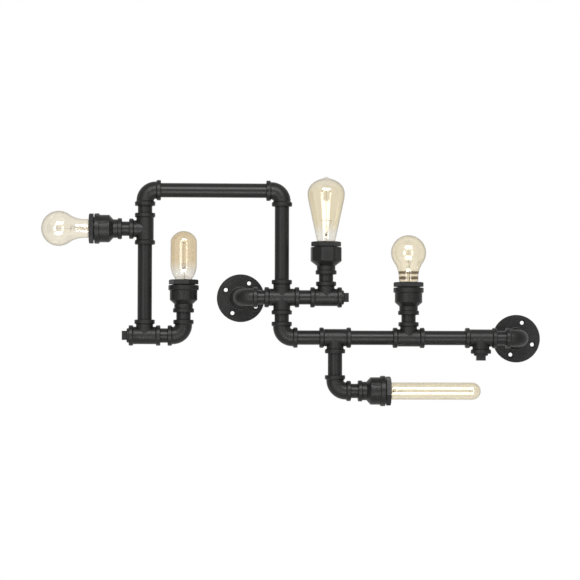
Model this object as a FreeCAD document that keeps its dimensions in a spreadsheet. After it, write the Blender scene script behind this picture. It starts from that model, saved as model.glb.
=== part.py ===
import FreeCAD
import Part
import Sketcher
import math
import os

# Industrial pipe wall light: threaded pipe and malleable fittings on two wall
# flanges, with five screw-cap bulbs in reducing sockets.
#
# Frame: +X to the right, +Y into the wall, +Z up, millimetres. The wall is the
# plane y = 0 and the origin is the centre of the left flange on the wall.

Vector = FreeCAD.Vector
Rotation = FreeCAD.Rotation

# Driving dimensions, in millimetres, degrees or counts.
SIZES = {
    # Pipe and threads
    "pipe_radius": 12.5,
    "pipe_wall": 2.4,
    "thread_clearance": 0.05,
    "thread_engagement": 12.0,
    "socket_end_play": 0.5,
    # Exposed lengths between fitting faces
    "close_gap": 12.5,
    "wall_gap": 21.7,
    "riser_gap": 127.5,
    "top_gap": 182.6,
    "left_gap": 130.0,
    "arm_gap": 19.5,
    "lower_gap_1": 38.0,
    "lower_gap_2": 73.2,
    "lower_gap_3": 71.6,
    "drop_gap": 37.6,
    "exit_gap": 16.0,
    # Malleable fittings
    "fitting_reach": 27.3,
    "cross_reach": 30.0,
    "body_radius": 15.1,
    "branch_radius": 14.8,
    "elbow_arm": 0.4,
    "passage_radius": 10.4,
    "elbow_way": 6.4,
    "elbow_pocket": 14.0,
    "collar_radius": 17.7,
    "collar_width": 7.4,
    "collar_bevel": 1.0,
    "collar_slope": 1.0,
    # Wall flange
    "flange_radius": 42.0,
    "flange_thickness": 4.5,
    "flange_rim_bevel": 1.2,
    "flange_height": 16.0,
    "hub_radius": 17.6,
    "hub_fillet": 3.0,
    "hole_circle_radius": 30.0,
    "hole_radius": 3.5,
    "hole_count": 4,
    "countersink_radius": 5.4,
    "countersink_depth": 1.9,
    "left_hole_angle": 61.0,
    "right_hole_angle": 70.0,
    # Square-head plug
    "plug_shoulder": 3.6,
    "plug_square": 15.6,
    "plug_head": 8.2,
    "plug_chamfer": 1.2,
    # Lamp cup, a reducing socket
    "cup_length": 47.4,
    "cup_collar_radius": 18.3,
    "cup_collar_width": 7.3,
    "cup_neck_radius": 16.1,
    "cup_taper_start": 14.8,
    "cup_taper_length": 7.0,
    "cup_body_radius": 23.8,
    "cup_mouth_radius": 26.4,
    "cup_mouth_width": 8.8,
    "cup_thread_radius": 19.8,
    "cup_shoulder": 28.0,
    "cup_seat_radius": 17.2,
    "cup_seat_floor": 17.0,
    "rib_width": 3.6,
    "rib_height": 1.2,
    "rib_gap": 2.6,
    "rib_count": 2,
    "facet_corner_radius": 27.2,
    "facet_flat_radius": 25.9,
    "facet_count": 8,
    "facet_taper_length": 8.6,
    # Hex bushing in the cup's mouth
    "bushing_gap": 1.6,
    "bushing_height": 8.0,
    "bushing_sides": 6,
    "bushing_flat_radius": 22.5,
    "bushing_bore_radius": 17.6,
    "bushing_chamfer": 0.8,
    "bushing_chamfer_width": 2.6,
    # Lampholder
    "holder_flange_thickness": 3.4,
    "holder_radius": 16.6,
    "holder_top": 51.0,
    "holder_floor": 4.5,
    "shell_radius": 14.2,
    "shell_wall": 0.8,
    "shell_length": 25.0,
    "seat_clearance": 0.1,
    "contact_width": 6.0,
    "contact_thickness": 0.6,
    "contact_foot": 6.5,
    "contact_clearance": 0.3,
    # Screw cap of the bulbs
    "cap_radius": 13.15,
    "cap_wall": 0.6,
    "cap_sink": 1.9,
    "cap_skirt": 20.5,
    "cap_taper_radius": 9.6,
    "cap_taper": 2.6,
    "insulator_height": 2.4,
    "insulator_radius": 5.6,
    "tip_radius": 4.7,
    "tip_height": 1.5,
    "tip_stem_radius": 1.8,
    "tip_stem_length": 2.0,
    "tip_clearance": 0.1,
    # Glass
    "glass_wall": 0.9,
    "glass_in_cap": 6.0,
    "glass_foot_clearance": 0.1,
    "glass_shoulder": 4.4,
    "stem_flare": 3.0,
    "stem_radius": 3.2,
    "pear_radius": 30.45,
    "pear_neck": 16.5,
    "pear_waist": 45.0,
    "pear_length": 84.3,
    "pear_stem": 24.0,
    "globe_radius": 30.6,
    "globe_neck": 17.1,
    "globe_waist": 45.0,
    "globe_length": 83.7,
    "globe_stem": 30.0,
    "dome_radius": 22.9,
    "dome_length": 86.2,
    "dome_shoulder": 14.0,
    "dome_crown": 24.0,
    "dome_foot_height": 29.0,
    "dome_foot_round": 45.0,
    "dome_neck": 17.8,
    "dome_neck_height": 7.6,
    "dome_stem": 22.0,
    "drop_radius": 32.45,
    "drop_length": 114.8,
    "drop_shoulder": 24.0,
    "drop_crown": 37.15,
    "drop_pip_radius": 6.0,
    "drop_pip_height": 2.6,
    "drop_flank_radius": 30.8,
    "drop_flank_height": 72.0,
    "drop_flank_round": 80.0,
    "drop_neck": 16.4,
    "drop_stem": 30.0,
    "tube_radius": 14.95,
    "tube_length": 158.8,
    "tube_stem": 14.0,
    # Filaments: each form's cage of strands, heights above the cap's rim
    "filament_radius": 0.3,
    "filament_foot": 1.6,
    "filament_rise": 2.0,
    "pear_cage_radius": 7.0,
    "pear_cage_low": 33.0,
    "pear_cage_high": 57.0,
    "pear_strands": 6,
    "globe_cage_radius": 5.0,
    "globe_cage_low": 37.0,
    "globe_cage_high": 62.0,
    "globe_strands": 6,
    "dome_cage_radius": 6.0,
    "dome_cage_low": 30.0,
    "dome_cage_high": 66.0,
    "dome_strands": 6,
    "drop_cage_radius": 9.5,
    "drop_cage_low": 39.0,
    "drop_cage_high": 90.0,
    "drop_strands": 8,
    "tube_cage_radius": 3.4,
    "tube_cage_low": 20.0,
    "tube_cage_high": 140.0,
    "tube_strands": 4,
    # Wiring
    "lead_radius": 2.8,
    "lead_bend": 12.0,
    "splice_side": 12.0,
    "block_width": 12.0,
    "block_depth": 8.0,
    "block_length": 18.0,
    "block_inset": 10.0,
    "block_poles": 3,
    "block_screw_radius": 1.3,
    "block_screw_length": 3.0,
    "block_screw_clearance": 0.1,
    "screw_slot_width": 0.6,
    "screw_slot_depth": 0.8,
}

doc = FreeCAD.newDocument("PipeWallLight")
sheet = doc.addObject("Spreadsheet::Sheet", "Sizes")


class Length:
    """A size as its number and as the sheet expression that gives it."""

    def __init__(self, value, text=None):
        self.value = float(value)
        self.text = text if text else f"{float(value):g}"

    def __add__(self, other):
        other = as_length(other)
        return Length(self.value + other.value, f"({self.text} + {other.text})")

    def __sub__(self, other):
        other = as_length(other)
        return Length(self.value - other.value, f"({self.text} - {other.text})")

    def __mul__(self, other):
        other = as_length(other)
        return Length(self.value * other.value, f"({self.text} * {other.text})")

    def __truediv__(self, other):
        other = as_length(other)
        return Length(self.value / other.value, f"({self.text} / {other.text})")

    def __radd__(self, other):
        return as_length(other) + self

    def __rsub__(self, other):
        return as_length(other) - self

    def __rmul__(self, other):
        return as_length(other) * self

    def __neg__(self):
        return Length(-self.value, f"(0 - {self.text})")


def as_length(number):
    return number if isinstance(number, Length) else Length(number)


def root(square):
    return Length(math.sqrt(square.value), f"sqrt({square.text})")


class Sizes:
    """The sheet's cells, read by name."""

    def __getattr__(self, name):
        return Length(sheet.get(name), f"Sizes.{name}")


def fill_sheet():
    for row, (name, value) in enumerate(SIZES.items(), start=1):
        sheet.set(f"A{row}", name)
        sheet.set(f"B{row}", str(value))
        sheet.setAlias(f"B{row}", name)
    doc.recompute()


fill_sheet()
S = Sizes()
NODES = []

# How far a cutting tool reaches past the face it cuts.
CUTTER_MARGIN = 1.0


# ---------------------------------------------------------------- helpers

def new_body(label):
    body = doc.addObject("PartDesign::Body", label)
    body.Label = label
    return body


def origin_plane(body, role):
    for feature in body.Origin.OriginFeatures:
        if feature.Role == role:
            return feature


def new_sketch(body, name, role="XZ_Plane", turn=0.0, lift=None):
    """A sketch on one of the body's origin planes, turned in that plane and lifted off it."""
    sketch = body.newObject("Sketcher::SketchObject", name)
    sketch.AttachmentSupport = [(origin_plane(body, role), "")]
    sketch.MapMode = "FlatFace"
    turn = as_length(turn)
    lift = as_length(lift or 0.0)
    spin = Rotation(Vector(0, 0, 1), turn.value)
    sketch.AttachmentOffset = FreeCAD.Placement(Vector(0, 0, lift.value), spin)
    if "Sizes" in lift.text:
        sketch.setExpression("AttachmentOffset.Base.z", lift.text)
    if "Sizes" in turn.text:
        sketch.setExpression("AttachmentOffset.Rotation.Angle", turn.text)
    return sketch


def bulged_arc(start, end, radius):
    """An arc from start to end; a positive radius bulges to the right of the way from start to end."""
    chord = end - start
    half = chord.Length / 2
    side = Vector(chord.y, -chord.x, 0).normalize()
    size = abs(radius)
    rise = size - math.sqrt(max(size * size - half * half, 0.0))
    middle = (start + end) / 2 + side * math.copysign(rise, radius)
    return Part.Arc(start, middle, end)


def draw_outline(sketch, points):
    """A closed outline. Each point is (across, up) or (across, up, radius of the arc to the next)."""
    spots = [Vector(as_length(p[0]).value, as_length(p[1]).value, 0) for p in points]
    count = len(points)
    first = sketch.GeometryCount
    starts = []
    for index, point in enumerate(points):
        here = spots[index]
        after = spots[(index + 1) % count]
        if len(point) == 3:
            edge = sketch.addGeometry(bulged_arc(here, after, as_length(point[2]).value), False)
            near = (sketch.getPoint(edge, 1) - here).Length < (sketch.getPoint(edge, 2) - here).Length
            starts.append(1 if near else 2)
        else:
            edge = sketch.addGeometry(Part.LineSegment(here, after), False)
            starts.append(1)
    for index in range(count):
        following = (index + 1) % count
        join = ("Coincident", first + index, 3 - starts[index], first + following, starts[following])
        sketch.addConstraint(Sketcher.Constraint(*join))
    for index, point in enumerate(points):
        for kind, size in (("DistanceX", as_length(point[0])), ("DistanceY", as_length(point[1]))):
            rule = Sketcher.Constraint(kind, -1, 1, first + index, starts[index], size.value)
            number = sketch.addConstraint(rule)
            if "Sizes" in size.text:
                sketch.setExpression(f"Constraints[{number}]", size.text)
        if len(point) == 3:
            size = as_length(point[2])
            text = size.text if size.value > 0 else (-size).text
            number = sketch.addConstraint(Sketcher.Constraint("Radius", first + index, abs(size.value)))
            if "Sizes" in text:
                sketch.setExpression(f"Constraints[{number}]", text)


def revolve(body, name, points, cut=False, turn=0.0):
    """Turns an outline of (radius, height) points round the height axis."""
    sketch = new_sketch(body, name + "Outline", turn=turn)
    draw_outline(sketch, points)
    kind = "PartDesign::Groove" if cut else "PartDesign::Revolution"
    feature = body.newObject(kind, name)
    feature.Profile = sketch
    feature.ReferenceAxis = (sketch, ["V_Axis"])
    feature.Angle = 360
    feature.Refine = True
    doc.recompute()
    return feature


def prism(body, name, points, length, cut=False, lift=None):
    """Pads or pockets an outline drawn across the height axis."""
    sketch = new_sketch(body, name + "Outline", role="XY_Plane", lift=lift)
    draw_outline(sketch, points)
    return extrude(body, name, sketch, length, cut)


def extrude(body, name, sketch, length, cut=False):
    feature = body.newObject("PartDesign::Pocket" if cut else "PartDesign::Pad", name)
    feature.Profile = sketch
    length = as_length(length)
    feature.Length = length.value
    feature.setExpression("Length", length.text)
    doc.recompute()
    return feature


def repeat_round(body, name, feature, count):
    """Copies a feature evenly round the height axis."""
    pattern = body.newObject("PartDesign::PolarPattern", name)
    pattern.Originals = [feature]
    pattern.Axis = (feature.Profile[0], ["N_Axis"])
    pattern.Angle = 360
    count = as_length(count)
    pattern.Occurrences = int(round(count.value))
    if "Sizes" in count.text:
        pattern.setExpression("Occurrences", count.text)
    body.Tip = pattern
    doc.recompute()
    return pattern


def place(item, spot, rotation=None):
    """Puts an item at a spot given by three sizes."""
    sizes = [as_length(size) for size in spot]
    base = Vector(*[size.value for size in sizes])
    item.Placement = FreeCAD.Placement(base, rotation or Rotation())
    for axis, size in zip("xyz", sizes):
        if "Sizes" in size.text:
            item.setExpression(f"Placement.Base.{axis}", size.text)
    return item


def node(item):
    NODES.append(item)
    return item


def group(label, items):
    """One node made of several like solids."""
    compound = doc.addObject("Part::Compound", label)
    compound.Label = label
    compound.Links = items
    return node(compound)


# Directions in the plane of the pipes, as the turn that takes the height axis there.
UP = Rotation(Vector(0, 1, 0), 0)
DOWN = Rotation(Vector(0, 1, 0), 180)
RIGHT = Rotation(Vector(0, 1, 0), 90)
LEFT = Rotation(Vector(0, 1, 0), -90)
TO_WALL = Rotation(Vector(1, 0, 0), -90)


# ---------------------------------------------------------------- layout

PLANE = -(S.flange_height + S.wall_gap + S.fitting_reach)
STEP = S.close_gap + S.fitting_reach


def spot(across, up):
    return (across, PLANE, up)


cross_x = STEP + S.cross_reach
arm_x = cross_x + S.cross_reach + S.arm_gap + S.fitting_reach
top_z = S.cross_reach + S.riser_gap + S.fitting_reach
left_x = cross_x - S.fitting_reach - S.top_gap - S.fitting_reach
branch_z = top_z - S.fitting_reach - STEP
corner_z = branch_z - S.fitting_reach - S.left_gap - S.fitting_reach
corner_x = left_x + S.fitting_reach + STEP
lower_z = -(S.cross_reach + STEP)
drop_x = cross_x + S.fitting_reach + S.lower_gap_1 + S.fitting_reach
lamp_x = drop_x + S.fitting_reach + S.lower_gap_2 + S.fitting_reach
end_x = lamp_x + S.fitting_reach + S.lower_gap_3 + S.fitting_reach
right_x = end_x + S.fitting_reach + S.exit_gap + S.fitting_reach
drop_z = lower_z - S.fitting_reach - S.drop_gap - S.fitting_reach

# Each lamp: where the cup's small end sits, and the way the lamp points.
LAMPS = {
    1: (spot(left_x - S.fitting_reach - S.close_gap, branch_z), LEFT, "pear"),
    2: (spot(corner_x, corner_z + S.fitting_reach + S.close_gap), UP, "dome"),
    3: (spot(arm_x, S.fitting_reach + S.close_gap), UP, "drop"),
    4: (spot(drop_x + S.fitting_reach + S.close_gap, drop_z), RIGHT, "tube"),
    5: (spot(lamp_x, lower_z + S.fitting_reach + S.close_gap), UP, "globe"),
}

# How far each cup and each bushing is turned about the lamp's axis, in degrees.
CUP_TURN = {1: -66.0, 2: -54.0, 3: 6.0, 4: -119.0, 5: -87.0}
BUSHING_TURN = {1: 24.0, 2: 20.0, 3: 29.0, 4: 15.0, 5: 23.0}
FACETED_CUP = 3


# ---------------------------------------------------------------- fittings

SOCKET_RADIUS = S.pipe_radius + S.thread_clearance
SOCKET_DEPTH = S.thread_engagement + S.socket_end_play
BEND_RADIUS = S.fitting_reach - S.collar_width - S.collar_slope - S.elbow_arm


def arm_outline(radius, start, reach):
    """Half section of one arm of a fitting: the body, then its banded collar."""
    collar_start = reach - S.collar_width
    return [
        (0, start),
        (radius, start),
        (radius, collar_start - S.collar_slope),
        (radius + S.collar_slope, collar_start),
        (S.collar_radius - S.collar_bevel, collar_start),
        (S.collar_radius, collar_start + S.collar_bevel),
        (S.collar_radius, reach - S.collar_bevel),
        (S.collar_radius - S.collar_bevel, reach),
        (0, reach),
    ]


def arm_passage(reach, start=0):
    """Half section of the hollow in one arm: the cored way, then the threaded socket."""
    floor = reach - SOCKET_DEPTH
    return [(0, start), (S.passage_radius, start), (S.passage_radius, floor)] + arm_socket(reach)[1:]


def arm_socket(reach):
    """Half section of the threaded socket alone."""
    floor = reach - SOCKET_DEPTH
    return [(0, floor), (SOCKET_RADIUS, floor), (SOCKET_RADIUS, reach), (0, reach)]


def branched_fitting(label, arms):
    """A tee or a cross; arms gives each arm's name, turn, radius and reach."""
    body = new_body(label)
    for name, turn, radius, reach in arms:
        revolve(body, name, arm_outline(radius, 0, reach), turn=turn)
    for name, turn, radius, reach in arms:
        revolve(body, name + "Passage", arm_passage(reach), cut=True, turn=turn)
    return body


def tee(label):
    """Run along X, branch along +Z."""
    return branched_fitting(label, (
        ("RunLeft", 90.0, S.body_radius, S.fitting_reach),
        ("RunRight", -90.0, S.body_radius, S.fitting_reach),
        ("Branch", 0.0, S.branch_radius, S.fitting_reach),
    ))


def cross(label):
    return branched_fitting(label, (
        ("RunLeft", 90.0, S.body_radius, S.cross_reach),
        ("RunRight", -90.0, S.body_radius, S.cross_reach),
        ("BranchUp", 0.0, S.branch_radius, S.cross_reach),
        ("BranchDown", 180.0, S.branch_radius, S.cross_reach),
    ))


def bend(body, name, radius):
    """A quarter turn from the +Z arm to the +X arm."""
    sketch = new_sketch(body, name + "Outline", role="XY_Plane", lift=BEND_RADIUS)
    sketch.addGeometry(Part.Circle(Vector(0, 0, 0), Vector(0, 0, 1), radius.value), False)
    sketch.addConstraint(Sketcher.Constraint("Coincident", 0, 3, -1, 1))
    number = sketch.addConstraint(Sketcher.Constraint("Radius", 0, radius.value))
    sketch.setExpression(f"Constraints[{number}]", radius.text)
    pivot = BEND_RADIUS.value
    sketch.addGeometry(Part.LineSegment(Vector(pivot, -pivot, 0), Vector(pivot, pivot, 0)), True)
    for end, sign in ((1, -1), (2, 1)):
        for kind, value in (("DistanceX", BEND_RADIUS), ("DistanceY", BEND_RADIUS * sign)):
            number = sketch.addConstraint(Sketcher.Constraint(kind, -1, 1, 1, end, value.value))
            sketch.setExpression(f"Constraints[{number}]", value.text)
    feature = body.newObject("PartDesign::Revolution", name)
    feature.Profile = sketch
    feature.ReferenceAxis = (sketch, ["Axis0"])
    feature.Angle = 90
    feature.Reversed = True
    doc.recompute()
    return feature


def elbow(label):
    """A 90 degree elbow, arms along +X and +Z; its two ways meet in a pocket on their diagonal."""
    body = new_body(label)
    arms = (("ArmUp", 0.0), ("ArmRight", -90.0))
    bend(body, "Bend", S.body_radius)
    for name, turn in arms:
        revolve(body, name, arm_outline(S.body_radius, BEND_RADIUS, S.fitting_reach), turn=turn)
    pocket = [(0, 0), (S.passage_radius, 0), (S.passage_radius, S.elbow_pocket), (0, S.elbow_pocket)]
    revolve(body, "Pocket", pocket, cut=True, turn=-45.0)
    for name, turn in arms:
        revolve(body, name + "Passage", arm_passage(S.fitting_reach, S.elbow_way), cut=True, turn=turn)
    return body


def fittings():
    quarter = Rotation(Vector(0, 0, 1), 90)
    node(place(elbow("left_wall_elbow"), spot(0, 0), TO_WALL))
    node(place(elbow("right_wall_elbow"), spot(right_x, lower_z), quarter.multiply(TO_WALL)))
    node(place(elbow("top_right_elbow"), spot(cross_x, top_z), DOWN))
    node(place(elbow("top_left_elbow"), spot(left_x, top_z), RIGHT))
    node(place(elbow("corner_elbow"), spot(corner_x, corner_z), LEFT))
    node(place(elbow("lower_elbow"), spot(cross_x, lower_z), UP))
    node(place(elbow("drop_elbow"), spot(drop_x, drop_z), UP))
    node(place(cross("cross"), spot(cross_x, 0), UP))
    node(place(tee("left_tee"), spot(left_x, branch_z), LEFT))
    node(place(tee("corner_tee"), spot(left_x, corner_z), UP))
    node(place(tee("middle_tee"), spot(arm_x, 0), UP))
    node(place(tee("drop_tee"), spot(drop_x, lower_z), DOWN))
    node(place(tee("lamp_tee"), spot(lamp_x, lower_z), UP))
    node(place(tee("end_tee"), spot(end_x, lower_z), DOWN))


# ---------------------------------------------------------------- pipes

def pipe(label, exposed):
    """A pipe along +Z from the face of one fitting, with a threaded end in each."""
    body = new_body(label)
    low = -S.thread_engagement
    high = exposed + S.thread_engagement
    bore = S.pipe_radius - S.pipe_wall
    revolve(body, "Tube", [(bore, low), (S.pipe_radius, low), (S.pipe_radius, high), (bore, high)])
    return body


def pipes():
    reach = S.fitting_reach
    node(place(pipe("riser_pipe", S.riser_gap), spot(cross_x, S.cross_reach), UP))
    node(place(pipe("top_pipe", S.top_gap), spot(left_x + reach, top_z), RIGHT))
    node(place(pipe("left_pipe", S.left_gap), spot(left_x, corner_z + reach), UP))
    node(place(pipe("arm_nipple", S.arm_gap), spot(cross_x + S.cross_reach, 0), RIGHT))
    node(place(pipe("lower_pipe_1", S.lower_gap_1), spot(cross_x + reach, lower_z), RIGHT))
    node(place(pipe("lower_pipe_2", S.lower_gap_2), spot(drop_x + reach, lower_z), RIGHT))
    node(place(pipe("lower_pipe_3", S.lower_gap_3), spot(lamp_x + reach, lower_z), RIGHT))
    node(place(pipe("exit_nipple", S.exit_gap), spot(end_x + reach, lower_z), RIGHT))
    node(place(pipe("drop_pipe", S.drop_gap), spot(drop_x, lower_z - reach), DOWN))


def close_nipples():
    reach = S.fitting_reach
    seats = (
        (spot(reach, 0), RIGHT),
        (spot(cross_x, -S.cross_reach), DOWN),
        (spot(left_x, top_z - reach), DOWN),
        (spot(left_x - reach, branch_z), LEFT),
        (spot(left_x + reach, corner_z), RIGHT),
        (spot(corner_x, corner_z + reach), UP),
        (spot(arm_x, reach), UP),
        (spot(drop_x + reach, drop_z), RIGHT),
        (spot(lamp_x, lower_z + reach), UP),
    )
    items = [place(pipe(f"CloseNipple{number}", S.close_gap), seat, way)
             for number, (seat, way) in enumerate(seats, start=1)]
    group("close_nipples", items)


def wall_nipples():
    seats = ((0, 0), (right_x, lower_z))
    items = [place(pipe(f"WallNipple{number}", S.wall_gap), (x, -(S.flange_height + S.wall_gap), z), TO_WALL)
             for number, (x, z) in enumerate(seats, start=1)]
    group("wall_nipples", items)


def square_plug(label):
    """A plug along +Z from the face of its fitting: thread below, square head above."""
    body = new_body(label)
    revolve(body, "Thread", [
        (0, -S.thread_engagement), (S.pipe_radius, -S.thread_engagement),
        (S.pipe_radius, S.plug_shoulder - S.plug_chamfer),
        (S.pipe_radius - S.plug_chamfer, S.plug_shoulder), (0, S.plug_shoulder)])
    half = S.plug_square / 2
    inner = half - S.plug_chamfer
    square = [(-inner, -half), (inner, -half), (half, -inner), (half, inner),
              (inner, half), (-inner, half), (-half, inner), (-half, -inner)]
    prism(body, "Head", square, S.plug_head, lift=S.plug_shoulder)
    return body


def square_plugs():
    reach = S.fitting_reach
    seats = (
        (spot(left_x - reach, corner_z), LEFT),
        (spot(arm_x + reach, 0), RIGHT),
        (spot(end_x, lower_z - reach), DOWN),
    )
    items = [place(square_plug(f"SquarePlug{number}"), seat, way)
             for number, (seat, way) in enumerate(seats, start=1)]
    group("square_plugs", items)


# ---------------------------------------------------------------- wall flanges

def flange(label):
    """A round flange that lies on the wall, with its hub along +Z and a threaded bore."""
    body = new_body(label)
    hub_foot = S.flange_thickness + S.hub_fillet
    revolve(body, "Plate", [
        (0, 0),
        (S.flange_radius, 0),
        (S.flange_radius, S.flange_thickness - S.flange_rim_bevel),
        (S.flange_radius - S.flange_rim_bevel, S.flange_thickness),
        (S.hub_radius + S.hub_fillet, S.flange_thickness, -S.hub_fillet),
        (S.hub_radius, hub_foot),
        (S.hub_radius, S.flange_height - S.collar_bevel),
        (S.hub_radius - S.collar_bevel, S.flange_height),
        (0, S.flange_height),
    ])
    revolve(body, "Bore", [
        (0, 0), (SOCKET_RADIUS, 0), (SOCKET_RADIUS, S.flange_height), (0, S.flange_height)], cut=True)
    sketch = new_sketch(body, "HolePlace", role="XZ_Plane")
    hole = body.newObject("PartDesign::Groove", "ScrewHole")
    floor = S.flange_thickness - S.countersink_depth
    draw_outline(sketch, [
        (S.hole_circle_radius, 0),
        (S.hole_circle_radius + S.hole_radius, 0),
        (S.hole_circle_radius + S.hole_radius, floor),
        (S.hole_circle_radius + S.countersink_radius, S.flange_thickness),
        (S.hole_circle_radius, S.flange_thickness),
    ])
    foot = Vector(S.hole_circle_radius.value, -S.flange_height.value, 0)
    head = Vector(S.hole_circle_radius.value, S.flange_height.value, 0)
    axis = sketch.addGeometry(Part.LineSegment(foot, head), True)
    for end, height in ((1, -S.flange_height), (2, S.flange_height)):
        for kind, value in (("DistanceX", S.hole_circle_radius), ("DistanceY", height)):
            number = sketch.addConstraint(Sketcher.Constraint(kind, -1, 1, axis, end, value.value))
            sketch.setExpression(f"Constraints[{number}]", value.text)
    hole.Profile = sketch
    hole.ReferenceAxis = (sketch, ["Axis0"])
    hole.Angle = 360
    doc.recompute()
    ring = body.newObject("PartDesign::PolarPattern", "ScrewHoles")
    ring.Originals = [hole]
    ring.Axis = (origin_plane(body, "Z_Axis"), [""])
    ring.Angle = 360
    ring.Occurrences = int(S.hole_count.value)
    ring.setExpression("Occurrences", S.hole_count.text)
    body.Tip = ring
    doc.recompute()
    return body


def flanges():
    away = Rotation(Vector(1, 0, 0), 90)
    for label, x, z, angle in (("left_flange", 0, 0, S.left_hole_angle),
                               ("right_flange", right_x, lower_z, S.right_hole_angle)):
        turned = Rotation(Vector(0, 1, 0), -angle.value).multiply(away)
        node(place(flange(label), (x, 0, z), turned))


# ---------------------------------------------------------------- lamp cups

def cup_outline(body_radius, taper_length, mouth):
    """Half section of the outside of a reducing socket, small end at height 0."""
    taper_end = S.cup_taper_start + taper_length
    points = [
        (0, 0),
        (S.cup_collar_radius - S.collar_bevel, 0),
        (S.cup_collar_radius, S.collar_bevel),
        (S.cup_collar_radius, S.cup_collar_width - S.collar_bevel),
        (S.cup_collar_radius - S.collar_bevel, S.cup_collar_width),
        (S.cup_neck_radius, S.cup_collar_width),
        (S.cup_neck_radius, S.cup_taper_start),
        (body_radius, taper_end),
    ]
    if mouth:
        start = S.cup_length - S.cup_mouth_width
        points += [
            (body_radius, start),
            (S.cup_mouth_radius - S.collar_bevel, start),
            (S.cup_mouth_radius, start + S.collar_bevel),
            (S.cup_mouth_radius, S.cup_length - S.collar_bevel),
            (S.cup_mouth_radius - S.collar_bevel, S.cup_length),
        ]
    else:
        points += [
            (body_radius, S.cup_length - S.collar_bevel),
            (body_radius - S.collar_bevel, S.cup_length),
        ]
    return points + [(0, S.cup_length)]


def hollow_cup(body):
    """The small socket, the seat of the lampholder and the large thread."""
    revolve(body, "Hollow", [
        (0, 0),
        (SOCKET_RADIUS, 0),
        (SOCKET_RADIUS, SOCKET_DEPTH),
        (S.passage_radius, SOCKET_DEPTH),
        (S.passage_radius, S.cup_seat_floor),
        (S.cup_seat_radius, S.cup_seat_floor),
        (S.cup_seat_radius, S.cup_shoulder),
        (S.cup_thread_radius, S.cup_shoulder),
        (S.cup_thread_radius, S.cup_length),
        (0, S.cup_length),
    ], cut=True)


def banded_cup(label):
    """A cup with a collar at its mouth and two wrench ribs."""
    body = new_body(label)
    revolve(body, "Outside", cup_outline(S.cup_body_radius, S.cup_taper_length, True))
    half = S.rib_width / 2
    inner = S.cup_body_radius - S.rib_height
    outer = S.cup_body_radius + S.rib_height
    low = S.cup_taper_start + S.cup_taper_length + S.rib_gap
    rib_length = S.cup_length - S.cup_mouth_width - low + S.collar_bevel
    rib = prism(body, "Rib", [(inner, -half), (outer, -half), (outer, half), (inner, half)],
                rib_length, lift=low)
    repeat_round(body, "Ribs", rib, S.rib_count)
    hollow_cup(body)
    return body


def faceted_cup(label):
    """A cup whose large end has flats all round."""
    body = new_body(label)
    revolve(body, "Outside", cup_outline(S.facet_corner_radius, S.facet_taper_length, False))
    half = S.facet_corner_radius
    flat = S.facet_flat_radius
    outer = S.facet_corner_radius + CUTTER_MARGIN
    cutter = prism(body, "Flat", [(flat, -half), (outer, -half), (outer, half), (flat, half)],
                   S.cup_length - S.cup_taper_start, cut=True, lift=S.cup_length)
    repeat_round(body, "Flats", cutter, S.facet_count)
    hollow_cup(body)
    return body


def hex_bushing(label):
    """A hex head over the cup's mouth, a thread in the cup and a bore for the bulb."""
    body = new_body(label)
    low = S.cup_shoulder + S.holder_flange_thickness
    under = S.cup_length + S.bushing_gap
    top = under + S.bushing_height
    thread = S.cup_thread_radius - S.thread_clearance
    corner = S.bushing_flat_radius * 2 / math.sqrt(3)
    revolve(body, "Thread", [
        (0, low), (thread, low), (thread, under), (corner, under),
        (corner, top - S.bushing_chamfer), (corner - S.bushing_chamfer_width, top), (0, top)])
    half = S.bushing_flat_radius
    outer = corner + CUTTER_MARGIN
    flat = prism(body, "Flat", [(half, -half), (outer, -half), (outer, half), (half, half)],
                 S.bushing_height, cut=True, lift=top)
    repeat_round(body, "Flats", flat, S.bushing_sides)
    revolve(body, "Bore", [(0, low), (S.bushing_bore_radius, low), (S.bushing_bore_radius, top), (0, top)],
            cut=True)
    return body


def turned(rotation, angle):
    return rotation.multiply(Rotation(Vector(0, 0, 1), angle))


def cups_and_bushings():
    bushings = []
    for number, (seat, way, form) in LAMPS.items():
        make = faceted_cup if number == FACETED_CUP else banded_cup
        node(place(make(f"lamp_cup_{number}"), seat, turned(way, CUP_TURN[number])))
        bushings.append(place(hex_bushing(f"HexBushing{number}"), seat, turned(way, BUSHING_TURN[number])))
    group("hex_bushings", bushings)


# ---------------------------------------------------------------- lampholders

HOLDER_FOOT = S.cup_seat_floor + S.seat_clearance
HOLDER_FLOOR = HOLDER_FOOT + S.holder_floor


def holder_body(label):
    """The insulating body, held by its flange between the cup's shoulder and the bushing."""
    body = new_body(label)
    bore = S.shell_radius + S.seat_clearance
    rim_low = S.cup_shoulder + S.seat_clearance
    rim_high = S.cup_shoulder + S.holder_flange_thickness - S.seat_clearance
    rim = S.cup_thread_radius - S.seat_clearance
    revolve(body, "Body", [
        (0, HOLDER_FOOT), (S.holder_radius, HOLDER_FOOT), (S.holder_radius, rim_low),
        (rim, rim_low), (rim, rim_high), (S.holder_radius, rim_high),
        (S.holder_radius, S.holder_top), (bore, S.holder_top), (bore, HOLDER_FLOOR), (0, HOLDER_FLOOR)])
    return body


def holder_shell(label):
    """The screw shell, standing on the holder's floor."""
    body = new_body(label)
    inner = S.shell_radius - S.shell_wall
    low = HOLDER_FLOOR
    high = low + S.shell_length
    revolve(body, "Shell", [(inner, low), (S.shell_radius, low), (S.shell_radius, high), (inner, high)])
    return body


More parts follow.
